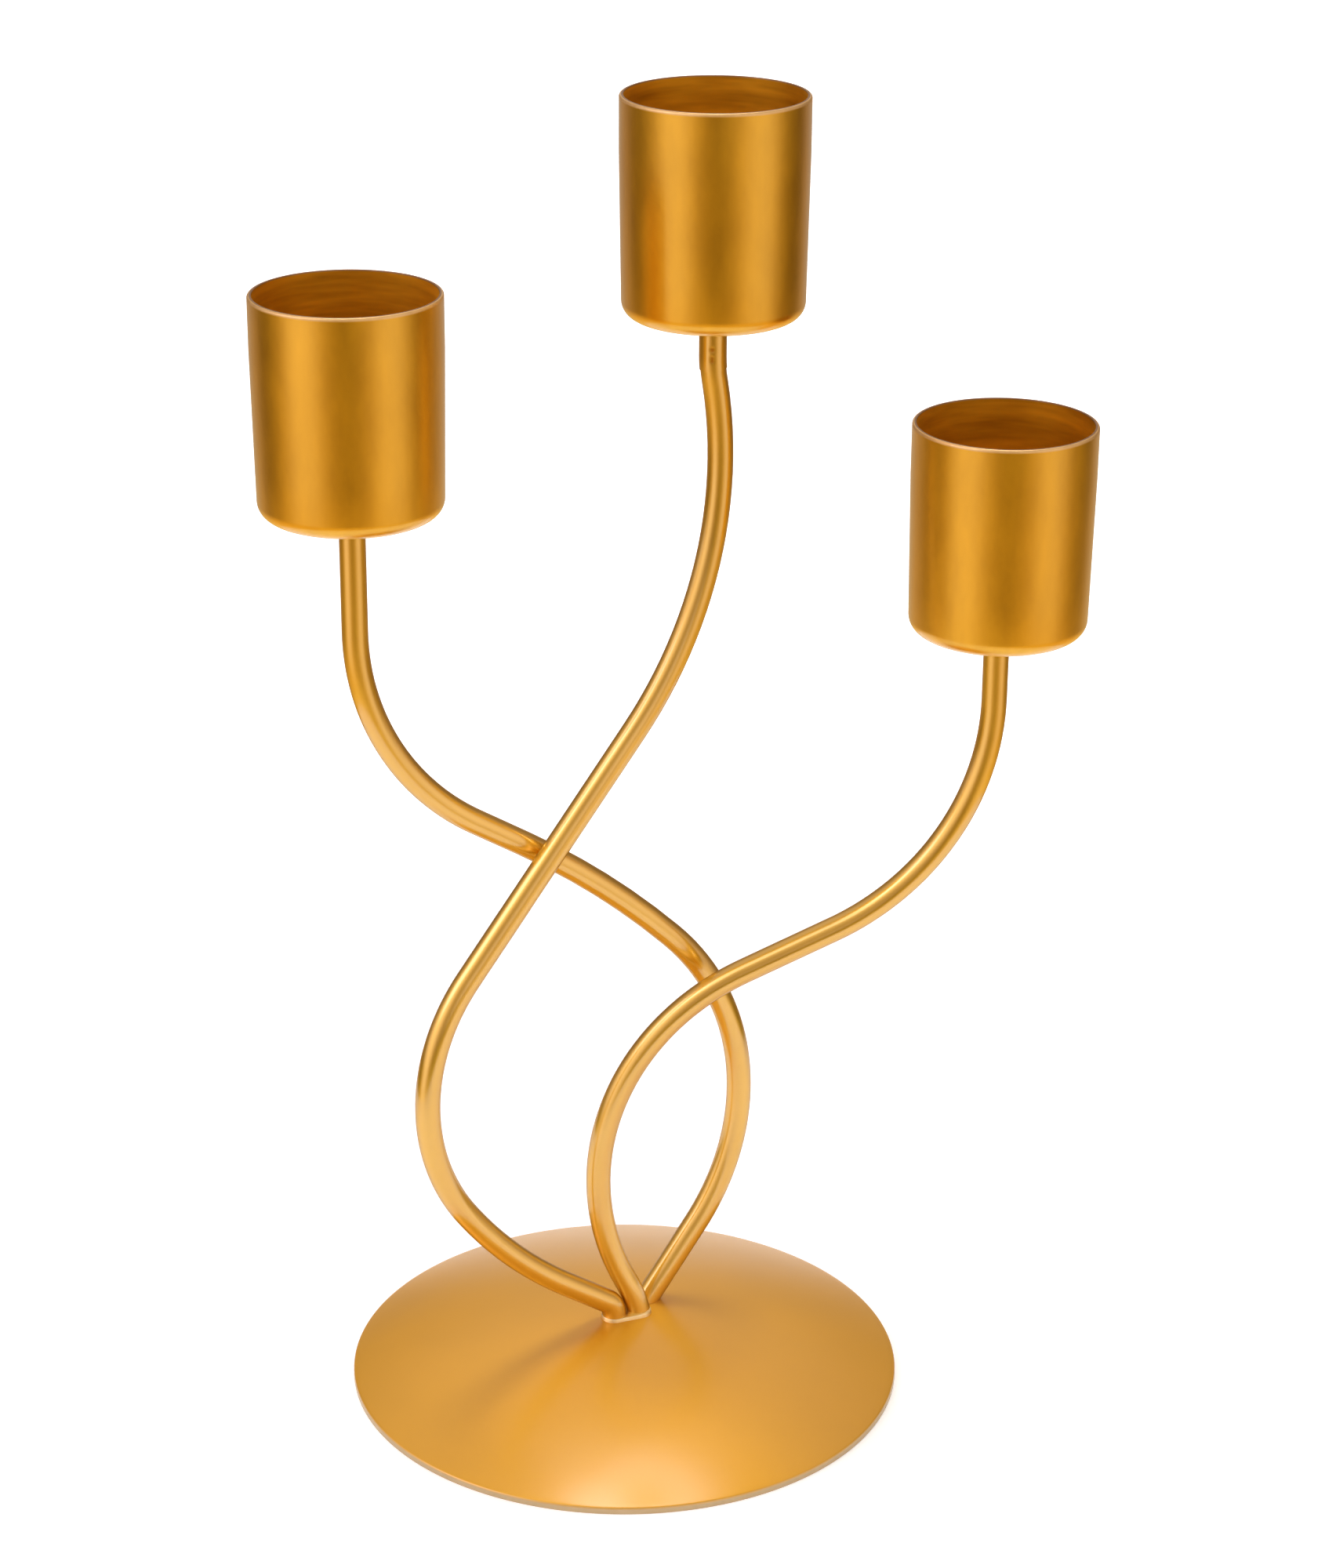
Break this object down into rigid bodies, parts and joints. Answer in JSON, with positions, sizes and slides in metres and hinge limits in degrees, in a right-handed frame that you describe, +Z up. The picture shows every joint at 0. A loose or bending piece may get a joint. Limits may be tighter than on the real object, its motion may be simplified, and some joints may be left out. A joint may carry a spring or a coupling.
{
  "type": "candle holder",
  "caption": "Free-standing candle holder: a shallow domed round base, crossing S-bent rods that rise from its crown to different heights, and an open straight cup on each rod.",
  "frame": {"origin": "middle of the flat ring under the dish's cut edge, on the floor", "axes": "+Z up; +X to the right of the picture, towards the lowest cup; +Y away from the picture's viewer"},
  "size_m": [0.191, 0.136, 0.3188],
  "materials": {
    "dish_gold": "satin gold plate on steel sheet",
    "rod_gold": "glossy gold plate on steel rod",
    "cup_gold": "satin gold plate on drawn steel",
    "fixing_steel": "zinc-plated"
  },
  "bodies": {
    "root": {"base_dish": "dish_gold", "foot_weld": "rod_gold", "arm_tall": "rod_gold", "arm_left": "rod_gold", "arm_right": "rod_gold", "neck_ferrule": "rod_gold", "cup_tall": "cup_gold", "cup_left": "cup_gold", "cup_right": "cup_gold", "cup_washers": "fixing_steel", "cup_screws": "fixing_steel"}
  },
  "joints": []
}
